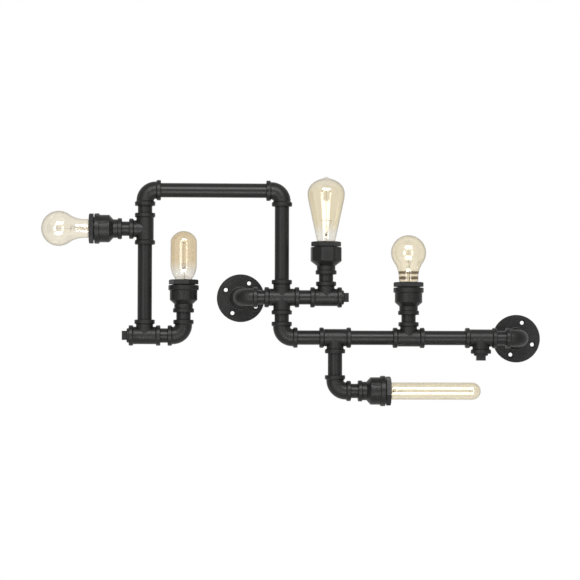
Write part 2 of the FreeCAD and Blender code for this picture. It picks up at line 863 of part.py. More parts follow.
def holder_contact(label):
    """The bent spring contact: a foot on the floor, a riser and a tongue under the bulb's tip."""
    body = new_body(label)
    tongue = TIP_FOOT - S.contact_clearance
    thick = S.contact_thickness
    foot = S.contact_foot
    half = S.contact_width / 2
    sketch = new_sketch(body, "StripOutline", role="XZ_Plane")
    draw_outline(sketch, [
        (-foot, HOLDER_FLOOR), (0, HOLDER_FLOOR), (0, HOLDER_FLOOR + thick),
        (thick - foot, HOLDER_FLOOR + thick), (thick - foot, tongue - thick),
        (half, tongue - thick), (half, tongue), (-foot, tongue)])
    strip = extrude(body, "Strip", sketch, S.contact_width)
    strip.SideType = "Symmetric"
    doc.recompute()
    return body


def lampholders():
    for label, make in (("lampholder_bodies", holder_body), ("lampholder_shells", holder_shell),
                        ("lampholder_contacts", holder_contact)):
        group(label, [place(make(f"{label.title().replace('_', '')}{number}"), seat, way)
                      for number, (seat, way, form) in LAMPS.items()])


# ---------------------------------------------------------------- bulbs
# Heights are from the cup's small end. The cap's rim sits just inside the bushing.

RIM = S.cup_length + S.bushing_gap + S.bushing_height - S.cap_sink
CAP_TAPER_END = RIM - S.cap_skirt - S.cap_taper
INSULATOR_FOOT = CAP_TAPER_END - S.insulator_height
TIP_FOOT = INSULATOR_FOOT - S.tip_clearance - S.tip_height


def cap(label):
    """The screw cap with its insulator, open above for the glass and below for the tip."""
    body = new_body(label)
    inner = S.cap_radius - S.cap_wall
    skirt_foot = RIM - S.cap_skirt
    hole = S.tip_stem_radius + S.tip_clearance
    revolve(body, "Shell", [
        (hole, INSULATOR_FOOT), (S.insulator_radius, INSULATOR_FOOT), (S.cap_taper_radius, CAP_TAPER_END),
        (S.cap_radius, skirt_foot), (S.cap_radius, RIM), (inner, RIM), (inner, skirt_foot),
        (hole, CAP_TAPER_END + S.cap_wall)])
    return body


def solder_tip(label):
    """The centre contact of the cap, with its stem in the insulator."""
    body = new_body(label)
    shoulder = TIP_FOOT + S.tip_height
    revolve(body, "Tip", [
        (0, TIP_FOOT), (S.tip_radius - S.tip_height / 2, TIP_FOOT), (S.tip_radius, shoulder),
        (S.tip_stem_radius, shoulder), (S.tip_stem_radius, shoulder + S.tip_stem_length),
        (0, shoulder + S.tip_stem_length)])
    return body


def crowned(radius, length, shoulder, crown):
    """Where a dome of two tangent arcs starts and where its arcs meet."""
    level = length - crown
    drop = root((crown - shoulder) * (crown - shoulder) - (radius - shoulder) * (radius - shoulder))
    share = crown / (crown - shoulder)
    return level + drop, (radius - shoulder) * share, level + drop * share


def waisted(radius, length, neck, waist):
    """Where a concave waist leaves the neck and where it meets the ball."""
    middle = length - radius
    drop = root((radius + waist) * (radius + waist) - (neck + waist) * (neck + waist))
    share = radius / (radius + waist)
    return middle - drop, (neck + waist) * share, middle - drop * share


def ball_profile(inset, radius, length, neck, waist):
    """Neck, waist and ball of a pear or globe bulb, shrunk by the inset."""
    neck_top, meet_x, meet_z = waisted(radius - inset, length - inset, neck - inset, waist + inset)
    return [
        (neck - inset, S.glass_shoulder),
        (neck - inset, neck_top, -(waist + inset)),
        (meet_x, meet_z, radius - inset),
        (0, length - inset),
    ]


def pear_profile(inset):
    return ball_profile(inset, S.pear_radius, S.pear_length, S.pear_neck, S.pear_waist)


def globe_profile(inset):
    return ball_profile(inset, S.globe_radius, S.globe_length, S.globe_neck, S.globe_waist)


def dome_profile(inset):
    start, meet_x, meet_z = crowned(S.dome_radius - inset, S.dome_length - inset,
                                    S.dome_shoulder - inset, S.dome_crown - inset)
    return [
        (S.dome_neck - inset, S.dome_neck_height, S.dome_foot_round - inset),
        (S.dome_radius - inset, S.dome_foot_height),
        (S.dome_radius - inset, start, S.dome_shoulder - inset),
        (meet_x, meet_z, S.dome_crown - inset),
        (0, S.dome_length - inset),
    ]


def drop_profile(inset):
    crown = S.drop_crown - inset
    crown_top = S.drop_length - S.drop_pip_height - inset
    start, meet_x, meet_z = crowned(S.drop_radius - inset, crown_top, S.drop_shoulder - inset, crown)
    pip = S.drop_pip_radius - inset
    pip_foot = crown_top - crown + root(crown * crown - pip * pip)
    rise = S.drop_length - inset - pip_foot
    return [
        (S.drop_neck - inset, S.glass_shoulder),
        (S.drop_flank_radius - inset, S.drop_flank_height, S.drop_flank_round - inset),
        (S.drop_radius - inset, start, S.drop_shoulder - inset),
        (meet_x, meet_z, crown),
        (pip, pip_foot, (pip * pip + rise * rise) / (rise * 2)),
        (0, S.drop_length - inset),
    ]


def tube_profile(inset):
    return [
        (S.tube_radius - inset, S.glass_shoulder),
        (S.tube_radius - inset, S.tube_length - S.tube_radius, S.tube_radius - inset),
        (0, S.tube_length - inset),
    ]


PROFILES = {"pear": pear_profile, "dome": dome_profile, "drop": drop_profile,
            "tube": tube_profile, "globe": globe_profile}
STEMS = {"pear": S.pear_stem, "dome": S.dome_stem, "drop": S.drop_stem,
         "tube": S.tube_stem, "globe": S.globe_stem}


def envelope(label, form):
    """A blown envelope in one piece with its stem; heights here are from the cap's rim."""
    body = new_body(label)
    foot_radius = S.cap_radius - S.cap_wall - S.glass_foot_clearance
    wall = S.glass_wall
    outside = PROFILES[form](Length(0))
    inside = walked_back(PROFILES[form](wall))
    foot = [(foot_radius, -S.glass_in_cap), (foot_radius, 0)]
    stem = [
        (foot_radius - wall, 0),
        (foot_radius - wall, wall * 2 - S.glass_in_cap),
        (S.stem_radius, S.stem_flare + wall),
        (S.stem_radius, STEMS[form]),
        (0, STEMS[form]),
        (0, S.stem_flare),
        (foot_radius - wall * 2, -S.glass_in_cap),
    ]
    revolve(body, "Glass", foot + outside + inside + stem)
    return body


def walked_back(profile):
    """The same edges from the other end, each arc bulging the other way."""
    points = []
    for index in range(len(profile) - 1, 0, -1):
        edge = profile[index - 1]
        here = profile[index][:2]
        points.append(here + (-edge[2],) if len(edge) == 3 else here)
    points.append(profile[0][:2])
    return points


def bulbs():
    for number, (seat, way, form) in LAMPS.items():
        node(place(cap(f"bulb_cap_{number}"), seat, way))
        node(place(solder_tip(f"bulb_tip_{number}"), seat, way))
        node(place(envelope(f"bulb_glass_{number}", form), lamp_point(seat, way, RIM), way))


def lamp_point(seat, way, height):
    """The spot at a height along a lamp's axis."""
    axis = way.multVec(Vector(0, 0, 1))
    steps = [round(axis.x), round(axis.y), round(axis.z)]
    return tuple(as_length(base) + height * step if step else base for base, step in zip(seat, steps))


# ---------------------------------------------------------------- filaments

CAGES = {
    "pear": (S.pear_cage_radius, S.pear_cage_low, S.pear_cage_high, S.pear_strands),
    "globe": (S.globe_cage_radius, S.globe_cage_low, S.globe_cage_high, S.globe_strands),
    "dome": (S.dome_cage_radius, S.dome_cage_low, S.dome_cage_high, S.dome_strands),
    "drop": (S.drop_cage_radius, S.drop_cage_low, S.drop_cage_high, S.drop_strands),
    "tube": (S.tube_cage_radius, S.tube_cage_low, S.tube_cage_high, S.tube_strands),
}


def polar(radius, angle, height):
    return Vector(radius * math.cos(angle), radius * math.sin(angle), height)


def mitred_wire(points, radius):
    """A thin wire bent at each point, with a six-sided section."""
    path = Part.makePolygon(points)
    facing = Rotation(Vector(0, 0, 1), points[1] - points[0])
    ring = [points[0] + facing.multVec(polar(radius, math.radians(60 * k), 0)) for k in range(7)]
    right_corners = 1
    return path.makePipeShell([Part.makePolygon(ring)], True, False, right_corners)


def filament(label, form):
    """One unbroken wire: a lead out of the stem, the cage's strands, and the lead back."""
    radius, low, high, strands = (size.value for size in CAGES[form])
    strands = int(round(strands))
    angles = [2 * math.pi * k / strands for k in range(strands)]
    stem_top = STEMS[form].value
    bend_height = stem_top + S.filament_rise.value
    points = [polar(S.filament_foot.value, angles[0], height) for height in (stem_top, bend_height)]
    for index, angle in enumerate(angles):
        ends = (low, high) if index % 2 == 0 else (high, low)
        points += [polar(radius, angle, height) for height in ends]
    points += [polar(S.filament_foot.value, angles[-1], height) for height in (bend_height, stem_top)]
    feature = doc.addObject("Part::Feature", label)
    feature.Shape = mitred_wire(points, S.filament_radius.value)
    return feature


def filaments():
    for number, (seat, way, form) in LAMPS.items():
        node(place(filament(f"bulb_filament_{number}", form), lamp_point(seat, way, RIM), way))


# ---------------------------------------------------------------- wiring

def rounded_path(points, radius):
    """Straight runs through the points with a tangent arc at each turn."""
    edges = []
    start = points[0]
    for before, corner, after in zip(points, points[1:], points[2:]):
        back = (before - corner).normalize()
        onward = (after - corner).normalize()
        half_turn = (math.pi - back.getAngle(onward)) / 2
        setback = radius * math.tan(half_turn)
        inward = (back + onward).normalize()
        middle = corner + inward * (radius / math.cos(half_turn) - radius)
        edges.append(Part.LineSegment(start, corner + back * setback).toShape())
        edges.append(Part.Arc(corner + back * setback, middle, corner + onward * setback).toShape())
        start = corner + onward * setback
    edges.append(Part.LineSegment(start, points[-1]).toShape())
    return Part.Wire(edges)


def lead(label, points):
    """A round sheathed lead along the middle of the pipes."""
    spots = [Vector(*[as_length(size).value for size in point]) for point in points]
    path = rounded_path(spots, S.lead_bend.value)
    section = Part.Circle(spots[0], spots[1] - spots[0], S.lead_radius.value).toShape()
    feature = doc.addObject("Part::Feature", label)
    feature.Shape = path.makePipeShell([Part.Wire(section)], True, False)
    return feature


def splice(label, x, z):
    """A square connector where the leads part."""
    box = doc.addObject("Part::Box", label)
    for side in ("Length", "Width", "Height"):
        box.setExpression(side, S.splice_side.text)
    half = S.splice_side / 2
    return place(box, (x - half, PLANE - half, z - half))


def internal_leads():
    half = S.splice_side / 2
    foot = {}
    for number, (seat, way, form) in LAMPS.items():
        foot[number] = lamp_point(seat, way, HOLDER_FOOT)
    block_end = -(S.block_inset + S.block_length)
    runs = (
        [(0, block_end, 0), spot(0, 0), spot(cross_x - half, 0)],
        [spot(cross_x, half), spot(cross_x, top_z), spot(left_x, top_z), spot(left_x, branch_z + half)],
        [spot(left_x - half, branch_z), foot[1]],
        [spot(left_x, branch_z - half), spot(left_x, corner_z), spot(corner_x, corner_z), foot[2]],
        [spot(cross_x + half, 0), spot(arm_x, 0), foot[3]],
        [spot(cross_x, -half), spot(cross_x, lower_z), spot(drop_x - half, lower_z)],
        [spot(drop_x, lower_z - half), spot(drop_x, drop_z), foot[4]],
        [spot(drop_x + half, lower_z), spot(lamp_x, lower_z), foot[5]],
    )
    items = [lead(f"Lead{number}", points) for number, points in enumerate(runs, start=1)]
    for number, (x, z) in enumerate(((cross_x, 0), (left_x, branch_z), (drop_x, lower_z)), start=1):
        items.append(splice(f"Splice{number}", x, z))
    group("internal_leads", items)


def pole_places():
    """Where the screws stand along the terminal block."""
    poles = int(round(S.block_poles.value))
    pitch = S.block_length / S.block_poles
    return [-(S.block_inset + pitch * (index + 0.5)) for index in range(poles)]


def terminal_block():
    """A block of poles in a row, in the left wall nipple, where the supply comes in."""
    block = doc.addObject("Part::Box", "BlockBody")
    for side, size in (("Length", S.block_width), ("Width", S.block_length), ("Height", S.block_depth)):
        block.setExpression(side, size.text)
    place(block, (-(S.block_width / 2), -(S.block_inset + S.block_length), -(S.block_depth / 2)))
    holes = []
    for number, y in enumerate(pole_places(), start=1):
        hole = doc.addObject("Part::Cylinder", f"PoleHole{number}")
        hole.setExpression("Radius", (S.block_screw_radius + S.block_screw_clearance).text)
        hole.setExpression("Height", S.block_screw_length.text)
        holes.append(place(hole, (0, y, S.block_depth / 2 - S.block_screw_length)))
    tools = doc.addObject("Part::MultiFuse", "PoleHoles")
    tools.Shapes = holes
    cut = doc.addObject("Part::Cut", "terminal_block")
    cut.Base = block
    cut.Tool = tools
    cut.Label = "terminal_block"
    doc.recompute()
    node(cut)


def terminal_screw(label):
    body = new_body(label)
    radius = S.block_screw_radius
    revolve(body, "Shank", [(0, 0), (radius, 0), (radius, S.block_screw_length), (0, S.block_screw_length)])
    half = S.screw_slot_width / 2
    outer = radius + CUTTER_MARGIN
    prism(body, "Slot", [(-outer, -half), (outer, -half), (outer, half), (-outer, half)],
          S.screw_slot_depth, cut=True, lift=S.block_screw_length)
    return body


def terminal_screws():
    floor = S.block_depth / 2 - S.block_screw_length
    group("terminal_screws", [place(terminal_screw(f"TerminalScrew{number}"), (0, y, floor))
                              for number, y in enumerate(pole_places(), start=1)])


# ---------------------------------------------------------------- output

def check(items):
    for item in doc.Objects:
        if "Invalid" in item.State or "Error" in item.State:
            raise RuntimeError(f"{item.Label} failed: {item.State}")
    for item in items:
        shape = item.Shape
        if shape.isNull() or not shape.isValid() or not shape.Solids:
            raise RuntimeError(f"{item.Label} has no valid solid")


def write(items):
    os.makedirs("parts", exist_ok=True)
    for item in items:
        item.Shape.exportStep(f"parts/{item.Label}.step")
        print(f"{item.Label}: {len(item.Shape.Solids)} solid(s), {item.Shape.Volume:.0f} mm3")


fittings()
pipes()
close_nipples()
wall_nipples()
square_plugs()
flanges()
cups_and_bushings()
lampholders()
bulbs()
filaments()
internal_leads()
terminal_block()
terminal_screws()
doc.recompute()
check(NODES)
write(NODES)
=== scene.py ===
import math

import bmesh
import bpy
from bpy.props import FloatProperty, FloatVectorProperty, IntProperty, PointerProperty
from mathutils import Matrix, Vector


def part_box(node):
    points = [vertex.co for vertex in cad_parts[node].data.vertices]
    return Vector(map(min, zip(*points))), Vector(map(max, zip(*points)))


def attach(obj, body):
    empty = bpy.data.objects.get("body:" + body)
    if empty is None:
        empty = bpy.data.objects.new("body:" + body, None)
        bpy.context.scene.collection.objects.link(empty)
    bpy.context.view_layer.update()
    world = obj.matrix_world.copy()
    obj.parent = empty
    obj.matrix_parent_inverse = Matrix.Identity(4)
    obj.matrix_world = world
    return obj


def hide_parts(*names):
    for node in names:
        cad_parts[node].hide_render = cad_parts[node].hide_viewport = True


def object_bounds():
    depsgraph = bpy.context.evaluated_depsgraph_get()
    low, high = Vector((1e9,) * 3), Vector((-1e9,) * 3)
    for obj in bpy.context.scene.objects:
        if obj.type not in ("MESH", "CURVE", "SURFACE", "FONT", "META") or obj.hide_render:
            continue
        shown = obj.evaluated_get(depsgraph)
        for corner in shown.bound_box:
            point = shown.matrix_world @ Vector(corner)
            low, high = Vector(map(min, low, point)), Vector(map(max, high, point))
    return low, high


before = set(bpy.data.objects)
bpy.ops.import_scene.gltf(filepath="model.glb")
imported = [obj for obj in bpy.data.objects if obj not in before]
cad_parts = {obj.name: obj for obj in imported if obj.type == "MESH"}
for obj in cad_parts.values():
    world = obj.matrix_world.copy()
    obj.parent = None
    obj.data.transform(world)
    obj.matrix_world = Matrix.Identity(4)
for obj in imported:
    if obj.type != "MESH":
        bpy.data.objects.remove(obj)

bl_info = {
    "name": "Pipe wall light",
    "version": (1, 0, 0),
    "blender": (4, 5, 0),
    "location": "View3D > Sidebar > Pipe light",
    "description": "Dresses the pipe wall light: coated iron, amber bulbs, filaments and threads",
    "category": "Object",
}

CAD_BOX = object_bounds()
MM = 0.001

BULB_NUMBERS = (1, 2, 3, 4, 5)
FIXED_BODY = "pipework"

# The way each lamp points, and the form of its bulb.
LAMP_WAYS = {1: (-1, 0, 0), 2: (0, 0, 1), 3: (0, 0, 1), 4: (1, 0, 0), 5: (0, 0, 1)}
LAMP_FORMS = {1: "pear", 2: "dome", 3: "drop", 4: "tube", 5: "globe"}
# The forms whose tint fades out towards the neck, and under the crown.
CLEAR_NECKS = ("dome", "drop")
CLEAR_CROWNS = ("drop",)
# Heights over the cap between which a painted dark band shows at the sides of the neck, in
# millimetres. It is painted shade: the dark hardware behind, seen bent through the glass.
PAINTED_NECK_BANDS = {"globe": ((6.5, 12.0), (16.0, 21.0))}


# ---------------------------------------------------------------- places read from the frame

def lamp_matrix(number):
    """The lamp's axis as +Z, with the rim of the bulb's cap at the origin."""
    low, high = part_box(f"bulb_cap_{number}")
    way = Vector(LAMP_WAYS[number])
    middle = (low + high) / 2
    reach = abs((high - low).dot(way)) / 2
    turn = Vector((0, 0, 1)).rotation_difference(way).to_matrix().to_4x4()
    return Matrix.Translation(middle + way * reach) @ turn


def bulb_body(number):
    return f"bulb_{number}"


# ---------------------------------------------------------------- settings

class CoatingSettings(bpy.types.PropertyGroup):
    colour: FloatVectorProperty(
        name="Coat colour", description="Colour of the black powder coat", subtype="COLOR",
        size=3, min=0.0, max=1.0, default=(0.004, 0.004, 0.0038))
    casting_grain: FloatProperty(
        name="Casting grain", description="Width of the sand grain on the castings",
        subtype="DISTANCE", unit="LENGTH", min=0.0001, default=1.9 * MM)
    casting_roughness: FloatProperty(
        name="Casting roughness", description="Roughness of the coat on the castings",
        subtype="FACTOR", min=0.0, max=1.0, default=0.36)
    pipe_roughness: FloatProperty(
        name="Pipe roughness", description="Roughness of the coat on the drawn pipe",
        subtype="FACTOR", min=0.0, max=1.0, default=0.36)
    sheen: FloatProperty(
        name="Sheen", description="How much the coat mirrors",
        subtype="FACTOR", min=0.0, max=1.0, default=0.17)


def tint(label, place, colour):
    return FloatVectorProperty(
        name=f"{label} tint", description=f"Share of each colour let through {place}",
        subtype="COLOR", size=3, min=0.0, max=1.0, default=colour)


class GlassSettings(bpy.types.PropertyGroup):
    pear: tint("Pear", "by the pear bulb", (0.79, 0.73, 0.60))
    dome: tint("Dome", "by the domed bulb", (0.68, 0.55, 0.35))
    drop: tint("Drop", "by the drop bulb", (0.74, 0.65, 0.46))
    tube: tint("Tube", "by the tube bulb", (0.73, 0.65, 0.48))
    globe: tint("Globe", "by the globe bulb", (0.78, 0.70, 0.52))
    clear: tint("Clear", "where the tint has faded", (0.77, 0.74, 0.67))
    # The edge tint is partly real tint from the longer path through the glass and partly painted
    # shade for the rim's bent view of dark surroundings.
    edge: tint("Edge", "where the glass is seen edge on", (0.020, 0.016, 0.010))
    # Painted shade: the colour of the dark neck bands, standing in for the hardware seen bent
    # through the glass.
    painted_neck_shade: tint("Band", "in the bands round the neck", (0.110, 0.070, 0.030))
    fade_low: FloatProperty(
        name="Fade low", description="Height over the cap where the tint starts",
        subtype="DISTANCE", unit="LENGTH", min=0.0, default=15 * MM)
    fade_high: FloatProperty(
        name="Fade high", description="Height over the cap where the tint is full",
        subtype="DISTANCE", unit="LENGTH", min=0.001, default=35 * MM)
    crown_fade: FloatProperty(
        name="Crown fade", description="How far the tint thins out under the drop's crown",
        subtype="DISTANCE", unit="LENGTH", min=0.001, default=26 * MM)
    edge_share: FloatProperty(
        name="Edge share", description="How much the glass darkens where it is seen edge on",
        subtype="FACTOR", min=0.0, max=1.0, default=0.9)
    gloss: FloatProperty(
        name="Gloss", description="How much the glass mirrors where it is seen square on",
        subtype="FACTOR", min=0.0, max=1.0, default=0.05)
    gloss_roughness: FloatProperty(
        name="Gloss roughness", description="How soft the highlights on the glass are",
        subtype="FACTOR", min=0.0, max=1.0, default=0.10)
    gloss_share: FloatProperty(
        name="Gloss share", description="How much the glass mirrors where it is seen edge on",
        subtype="FACTOR", min=0.0, max=1.0, default=0.3)


class FilamentSettings(bpy.types.PropertyGroup):
    wire: FloatProperty(
        name="Filament radius", description="Radius of the filament", subtype="DISTANCE",
        unit="LENGTH", min=0.00005, default=0.11 * MM)
    support: FloatProperty(
        name="Support radius", description="Radius of the hooks and lead wires",
        subtype="DISTANCE", unit="LENGTH", min=0.00005, default=0.18 * MM)
    bead: FloatProperty(
        name="Bead radius", description="Radius of the dark press at the post's foot",
        subtype="DISTANCE", unit="LENGTH", min=0.0005, default=2.2 * MM)


class ThreadSettings(bpy.types.PropertyGroup):
    cap_pitch: FloatProperty(
        name="Cap pitch", description="Pitch of the bulb cap's rolled thread",
        subtype="DISTANCE", unit="LENGTH", min=0.001, default=3.62 * MM)
    cap_depth: FloatProperty(
        name="Cap thread depth", description="Depth of the rolled thread",
        subtype="DISTANCE", unit="LENGTH", min=0.0001, default=0.8 * MM)
    bushing_pitch: FloatProperty(
        name="Bushing pitch", description="Pitch of the bushing's thread",
        subtype="DISTANCE", unit="LENGTH", min=0.0005, default=0.75 * MM)
    bushing_ridge: FloatProperty(
        name="Bushing ridge", description="Radius of the bushing thread's ridge",
        subtype="DISTANCE", unit="LENGTH", min=0.00005, default=0.26 * MM)
    around: IntProperty(
        name="Steps around", description="Faces round each thread", min=24, max=192, default=72)


class StageSettings(bpy.types.PropertyGroup):
    azimuth: FloatProperty(
        name="Azimuth", description="How far the camera stands round the light",
        subtype="ANGLE", unit="ROTATION", default=math.radians(-2.5))
    elevation: FloatProperty(
        name="Elevation", description="How high the camera stands", subtype="ANGLE",
        unit="ROTATION", default=math.radians(-2.0))
    roll: FloatProperty(
        name="Roll", description="Turn of the camera about its own axis", subtype="ANGLE",
        unit="ROTATION", default=math.radians(0.13))
    distance: FloatProperty(
        name="Distance", description="From the camera to the aim point", subtype="DISTANCE",
        unit="LENGTH", default=4.0)
    lens: FloatProperty(
        name="Lens", description="Focal length in millimetres", subtype="DISTANCE_CAMERA",
        default=142.3)
    aim: FloatVectorProperty(
        name="Aim", description="The point that the camera looks at", subtype="XYZ",
        unit="LENGTH", size=3, default=(0.0851, -0.040, 0.0135))
    key_power: FloatProperty(
        name="Key power", description="Power of the lamp in front and above", subtype="POWER",
        default=82.0)
    fill_power: FloatProperty(
        name="Fill power", description="Power of the lamp in front and below", subtype="POWER",
        default=36.0)
    front_power: FloatProperty(
        name="Front power", subtype="POWER", default=18.0,
        description="Power of the tall lamp on the left, of which the right one has a share")
    sky: FloatProperty(
        name="Surround", description="Strength of the even light all round", min=0.0,
        default=0.75)


# ---------------------------------------------------------------- shader building

class Socket:
    """A number in a shader, with ordinary arithmetic."""

    def __init__(self, nodes, link):
        self.nodes = nodes
        self.link = link

    def _math(self, operation, *values):
        return self.nodes.add("ShaderNodeMath", {"operation": operation}, values)[0]

    def __add__(self, other):
        return self._math("ADD", self, other)

    def __radd__(self, other):
        return self._math("ADD", other, self)

    def __sub__(self, other):
        return self._math("SUBTRACT", self, other)

    def __rsub__(self, other):
        return self._math("SUBTRACT", other, self)

    def __mul__(self, other):
        return self._math("MULTIPLY", self, other)

    def __rmul__(self, other):
        return self._math("MULTIPLY", other, self)

    def __truediv__(self, other):
        return self._math("DIVIDE", self, other)

    def __rtruediv__(self, other):
        return self._math("DIVIDE", other, self)

    def __pow__(self, other):
        return self._math("POWER", self, other)

    def __rpow__(self, other):
        return self._math("POWER", other, self)

    def clamped(self):
        return self._math("MINIMUM", self._math("MAXIMUM", self, 0.0), 1.0)


class Outputs:
    """What a node gives, by name or by number."""

    def __init__(self, nodes, node):
        self.nodes = nodes
        self.node = node

    def __getitem__(self, key):
        return Socket(self.nodes, self.node.outputs[key])


class Nodes:
    """The node tree of one material or of the world."""

    def __init__(self, owner, output):
        owner.use_nodes = True
        self.owner = owner
        self.tree = owner.node_tree
        self.tree.nodes.clear()
        self.output = self.tree.nodes.new(output)

    def add(self, kind, settings=None, values=()):
        """A node of that kind: its settings first, then values or links by order or name."""
        node = self.tree.nodes.new(kind)
        for key, value in (settings or {}).items():
            setattr(node, key, value)
        pairs = values.items() if isinstance(values, dict) else enumerate(values)
        for key, value in pairs:
            if isinstance(value, Socket):
                self.tree.links.new(value.link, node.inputs[key])
            else:
                node.inputs[key].default_value = value
        return Outputs(self, node)

    def place(self):
        return self.add("ShaderNodeTexCoord")["Object"]

    def noise(self, size, detail, roughness=0.5):
        values = {"Vector": self.place(), "Scale": 1.0 / size, "Detail": detail,
                  "Roughness": roughness}
        return self.add("ShaderNodeTexNoise", {}, values)["Fac"]

    def colours(self, share, first, second):
        """A mix of two colours, by the numbers that the Mix node's colour sockets have."""
        values = {0: share, 6: first, 7: second}
        return self.add("ShaderNodeMix", {"data_type": "RGBA"}, values)[2]

    def shaders(self, share, first, second):
        return self.add("ShaderNodeMixShader", {}, [share, first, second])[0]

    def bump(self, height, depth, strength):
        values = {"Height": height, "Distance": depth, "Strength": strength}
        return self.add("ShaderNodeBump", {}, values)["Normal"]

    def shown(self, shader):
        """Sends the shader to the output and gives back the material or the world."""
        self.tree.links.new(shader.link, self.output.inputs["Surface"])
        return self.owner


def material_nodes(name):
    return Nodes(bpy.data.materials.new(name), "ShaderNodeOutputMaterial")


def principled(nodes, values):
    return nodes.shown(nodes.add("ShaderNodeBsdfPrincipled", {}, values)["BSDF"])


def opaque(colour, share):
    """A colour made darker or lighter by a share, with full alpha."""
    return tuple(min(part * share, 1.0) for part in tuple(colour)[:3]) + (1.0,)


def mottled(nodes, mix, colour, dark, light):
    """A colour that drifts between a darker and a lighter share of itself."""
    return nodes.colours(mix, opaque(colour, dark), opaque(colour, light))


def varied(level, noise, spread):
    """A level that a noise moves by up to half the spread either way."""
    return level + (noise - 0.5) * spread


# ---------------------------------------------------------------- materials

# How wide the castings' dents and patches are against their grain, and the dents' weight.
DENTS_TO_GRAIN = 3.5
PATCHES_TO_GRAIN = 12
DENT_WEIGHT = 0.8

# How many faces of glass a look through a bulb crosses, past its stem.
FACES_CROSSED = 4
# How steeply glass darkens and mirrors towards its edge, and tints under the crown, as powers. The
# darkening is partly the longer path through the tint and partly painted shade for the rim's bent
# view of dark surroundings.
EDGE_POWER = 5
CROWN_POWER = 0.5
# How softly a painted neck band ends, and where and how fast it sets in at either side of its
# middle. The band is painted shade for the dark hardware seen bent through the glass.
BAND_SOFTNESS = 0.6 * MM
BAND_OPENING = 0.012
BAND_ONSET = 30.0


def coated_casting(settings):
    """Powder coat over sand-cast iron: a fine grain, shallow dents and a patchy sheen."""
    nodes = material_nodes("coated_casting")
    grain = nodes.noise(settings.casting_grain, detail=4.0, roughness=0.6)
    dents = nodes.noise(settings.casting_grain * DENTS_TO_GRAIN, detail=2.0)
    patches = nodes.noise(settings.casting_grain * PATCHES_TO_GRAIN, detail=3.0)
    patchy = varied(settings.casting_roughness, patches, spread=0.16)
    rough = varied(patchy, grain, spread=0.10)
    return principled(nodes, {
        "Base Color": mottled(nodes, patches, settings.colour, dark=0.7, light=1.4),
        "Roughness": rough,
        "Specular IOR Level": settings.sheen,
        "Normal": nodes.bump(grain + dents * DENT_WEIGHT, depth=0.45 * MM, strength=0.9),
    })


def coated_pipe(settings):
    """Powder coat over drawn tube, smoother than the castings."""
    nodes = material_nodes("coated_pipe")
    orange_peel = nodes.noise(size=1.6 * MM, detail=2.0)
    patches = nodes.noise(size=18 * MM, detail=3.0)
    return principled(nodes, {
        "Base Color": mottled(nodes, patches, settings.colour, dark=0.9, light=1.15),
        "Roughness": varied(settings.pipe_roughness, patches, spread=0.12),
        "Specular IOR Level": settings.sheen,
        "Normal": nodes.bump(orange_peel, depth=0.03 * MM, strength=0.5),
    })


def film(nodes, colour):
    """See-through colour for one of the faces that a look through the bulb crosses."""
    tinted = tuple(part ** (1.0 / FACES_CROSSED) for part in tuple(colour)[:3]) + (1.0,)
    return nodes.add("ShaderNodeBsdfTransparent", {}, {"Color": tinted})["BSDF"]


def blown_glass(number, settings):
    """Thin tinted glass with its form's clear places. It is darker edge on, partly from the longer
    path and partly from painted shade, and its neck bands are painted shade.
    """
    form = LAMP_FORMS[number]
    nodes = material_nodes(f"amber_glass_{number}")
    inverse = lamp_matrix(number).inverted()
    values = [nodes.place(), tuple(inverse[2][:3])]
    along = nodes.add("ShaderNodeVectorMath", {"operation": "DOT_PRODUCT"}, values)["Value"]
    height = along + inverse[2][3]
    facing = nodes.add("ShaderNodeLayerWeight", {}, {"Blend": 0.5})["Facing"]
    body = film(nodes, getattr(settings, form))
    clear = film(nodes, settings.clear)
    if form in CLEAR_NECKS:
        spread = settings.fade_high - settings.fade_low
        body = nodes.shaders(((height - settings.fade_low) / spread).clamped(), clear, body)
    if form in CLEAR_CROWNS:
        # This form stands upright, so its box ends at its crown.
        crown = (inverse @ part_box(f"bulb_glass_{number}")[1]).z
        share = ((crown - height) / settings.crown_fade).clamped() ** CROWN_POWER
        body = nodes.shaders(share, clear, body)
    # Painted shade: dark bands towards the sides of the neck, where the hardware behind shows bent
    # through the glass.
    for low, high in PAINTED_NECK_BANDS.get(form, ()):
        middle, half = (low + high) / 2 * MM, (high - low) / 2 * MM
        near = nodes.add("ShaderNodeMath", {"operation": "ABSOLUTE"}, [height - middle])[0]
        inside = ((half - near) / BAND_SOFTNESS).clamped()
        sides = ((facing - BAND_OPENING) * BAND_ONSET).clamped()
        body = nodes.shaders(inside * sides, body, film(nodes, settings.painted_neck_shade))
    # Partly painted shade: the rim darkens where real glass would bend dark surroundings into
    # view.
    rim_tint_and_shade = facing ** EDGE_POWER * settings.edge_share
    rim_darkened = nodes.shaders(rim_tint_and_shade, body, film(nodes, settings.edge))
    values = {"Color": (1, 1, 1, 1), "Roughness": settings.gloss_roughness}
    gloss = nodes.add("ShaderNodeBsdfGlossy", {}, values)[0]
    mirrored = settings.gloss + facing ** EDGE_POWER * settings.gloss_share
    return nodes.shown(nodes.shaders(mirrored, rim_darkened, gloss))


def metal(name, colour, roughness):
    """Bare metal with fine marks and a faint cloud of tone."""
    nodes = material_nodes(name)
    marks = nodes.noise(size=2.4 * MM, detail=3.0)
    cloud = nodes.noise(size=9 * MM, detail=2.0)
    return principled(nodes, {
        "Base Color": mottled(nodes, cloud, colour, dark=0.82, light=1.08),
        "Metallic": 1.0,
        "Roughness": varied(roughness, marks, spread=0.12),
        "Normal": nodes.bump(marks, depth=0.02 * MM, strength=0.5),
    })


